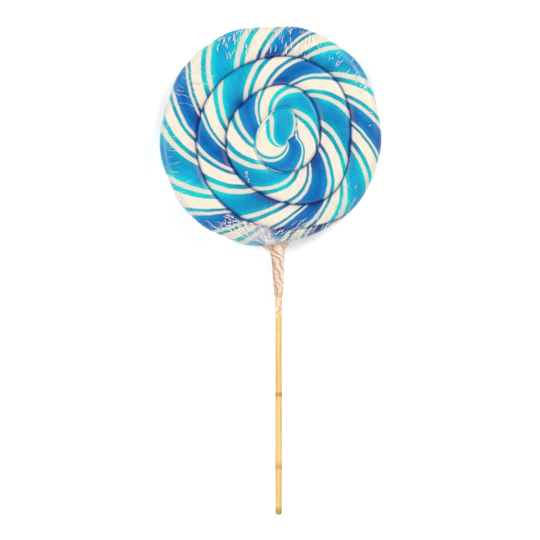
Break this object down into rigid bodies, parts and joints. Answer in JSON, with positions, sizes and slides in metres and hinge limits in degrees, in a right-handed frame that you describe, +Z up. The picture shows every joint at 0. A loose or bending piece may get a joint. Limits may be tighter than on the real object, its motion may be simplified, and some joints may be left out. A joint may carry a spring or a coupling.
{
  "type": "swirl lollipop",
  "caption": "Hard-sugar rope twisted in blue, cyan and cream, coiled flat on a bamboo stick, in clear film that is twisted and taped at the neck.",
  "frame": {"origin": "middle of the bounding box in plan, on the surface the lollipop lies on", "axes": "+Y along the stick from its free end to the head, +Z up out of the shown face, +X to the right of the shown face"},
  "size_m": [0.1048, 0.2312, 0.0134],
  "materials": {
    "pulled_sugar": "boiled sugar, pulled and twisted in stripes, glossy",
    "bamboo": "split bamboo, turned round and left bare",
    "clear_film": "clear polypropylene film, stretched, creased and glossy",
    "clear_tape": "clear adhesive tape wound over the film's tail"
  },
  "bodies": {
    "root": {"candy_swirl": "pulled_sugar", "stick": "bamboo", "film_wrap": "clear_film", "tape_band": "clear_tape"}
  },
  "joints": []
}
